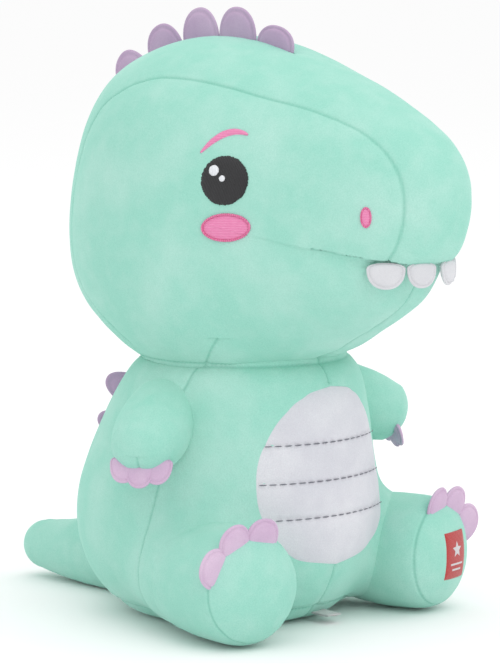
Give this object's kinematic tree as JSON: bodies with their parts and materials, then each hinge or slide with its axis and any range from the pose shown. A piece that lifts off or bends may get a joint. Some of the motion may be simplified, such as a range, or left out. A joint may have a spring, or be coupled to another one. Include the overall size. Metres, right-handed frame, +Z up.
{
  "type": "stuffed toy dinosaur",
  "caption": "Seated plush dinosaur with a big rounded head, stubby limbs, a quilted belly patch and soft lobes down its back.",
  "frame": {"origin": "on the floor under the middle of the toy's bounding box", "axes": "+Z up to the crown of the head; the toy faces -Y and its own right side is -X"},
  "size_m": [0.2392, 0.3355, 0.3501],
  "materials": {
    "mint_velour": "short-pile velour",
    "filling": "loose polyester fibre",
    "belly_fabric": "short-pile velour",
    "grey_thread": "quilting thread",
    "lilac_plush": "turned velour, two layers",
    "white_ribbon": "woven ribbon",
    "white_plush": "turned velour, two layers",
    "black_thread": "satin stitch",
    "white_thread": "satin stitch",
    "pink_thread": "satin stitch",
    "red_label": "woven satin ribbon"
  },
  "bodies": {
    "torso": {"torso_front_right_panel": "mint_velour", "torso_front_left_panel": "mint_velour", "torso_back_right_panel": "mint_velour", "torso_back_left_panel": "mint_velour", "torso_base_panel": "mint_velour", "torso_filling": "filling", "belly_patch": "belly_fabric", "belly_stitch_row_1": "grey_thread", "belly_stitch_row_2": "grey_thread", "belly_stitch_row_3": "grey_thread", "back_spike_1": "lilac_plush", "back_spike_2": "lilac_plush", "back_spike_3": "lilac_plush", "care_label": "white_ribbon"},
    "head": {"head_side_right": "mint_velour", "head_side_left": "mint_velour", "head_gusset": "mint_velour", "head_filling": "filling", "tooth_inner_right": "white_plush", "tooth_inner_left": "white_plush", "tooth_outer_right": "white_plush", "tooth_outer_left": "white_plush", "eye_right": "black_thread", "eye_left": "black_thread", "eye_glint_large_right": "white_thread", "eye_glint_large_left": "white_thread", "eye_glint_small_right": "white_thread", "eye_glint_small_left": "white_thread", "brow_right": "pink_thread", "brow_left": "pink_thread", "cheek_right": "pink_thread", "cheek_left": "pink_thread", "nostril_right": "pink_thread", "nostril_left": "pink_thread", "head_spike_1": "lilac_plush", "head_spike_2": "lilac_plush", "head_spike_3": "lilac_plush", "head_spike_4": "lilac_plush", "head_spike_5": "lilac_plush", "head_spike_6": "lilac_plush", "head_spike_7": "lilac_plush", "head_spike_8": "lilac_plush"},
    "arm_right": {"arm_right_panel": "mint_velour", "arm_right_filling": "filling", "arm_right_claws": "lilac_plush"},
    "arm_left": {"arm_left_panel": "mint_velour", "arm_left_filling": "filling", "arm_left_claws": "lilac_plush"},
    "leg_right": {"leg_right_panel": "mint_velour", "leg_right_sole": "mint_velour", "leg_right_filling": "filling", "leg_right_claws": "lilac_plush"},
    "leg_left": {"leg_left_panel": "mint_velour", "leg_left_sole": "mint_velour", "leg_left_filling": "filling", "leg_left_claws": "lilac_plush", "sole_label": "red_label"},
    "tail": {"tail_right_panel": "mint_velour", "tail_left_panel": "mint_velour", "tail_filling": "filling"}
  },
  "joints": [
    {"name": "head_nod", "type": "hinge", "parent": "torso", "child": "head", "pos_m": [0, -0.007, 0.106], "axis": [1, 0, 0], "range_deg": [-8, 10], "stiffness_Nm_per_rad": 3},
    {"name": "arm_right_raise", "type": "hinge", "parent": "torso", "child": "arm_right", "pos_m": [-0.068, -0.008, 0.122], "axis": [-0.4472, 0.8944, 0], "range_deg": [-4, 35], "stiffness_Nm_per_rad": 0.15},
    {"name": "arm_left_raise", "type": "hinge", "parent": "torso", "child": "arm_left", "pos_m": [0.068, -0.008, 0.122], "axis": [-0.4472, -0.8944, 0], "range_deg": [-4, 35], "stiffness_Nm_per_rad": 0.15},
    {"name": "leg_right_lift", "type": "hinge", "parent": "torso", "child": "leg_right", "pos_m": [-0.0696, -0.04309, 0.0336], "axis": [-0.9781, 0.2079, 0], "range_deg": [0, 20], "stiffness_Nm_per_rad": 0.8},
    {"name": "leg_left_lift", "type": "hinge", "parent": "torso", "child": "leg_left", "pos_m": [0.0696, -0.04309, 0.0336], "axis": [-0.9781, -0.2079, 0], "range_deg": [0, 20], "stiffness_Nm_per_rad": 0.8},
    {"name": "tail_wag", "type": "hinge", "parent": "torso", "child": "tail", "pos_m": [0, 0.078, 0.031], "axis": [0, 0, 1], "range_deg": [-15, 15], "stiffness_Nm_per_rad": 0.4}
  ]
}
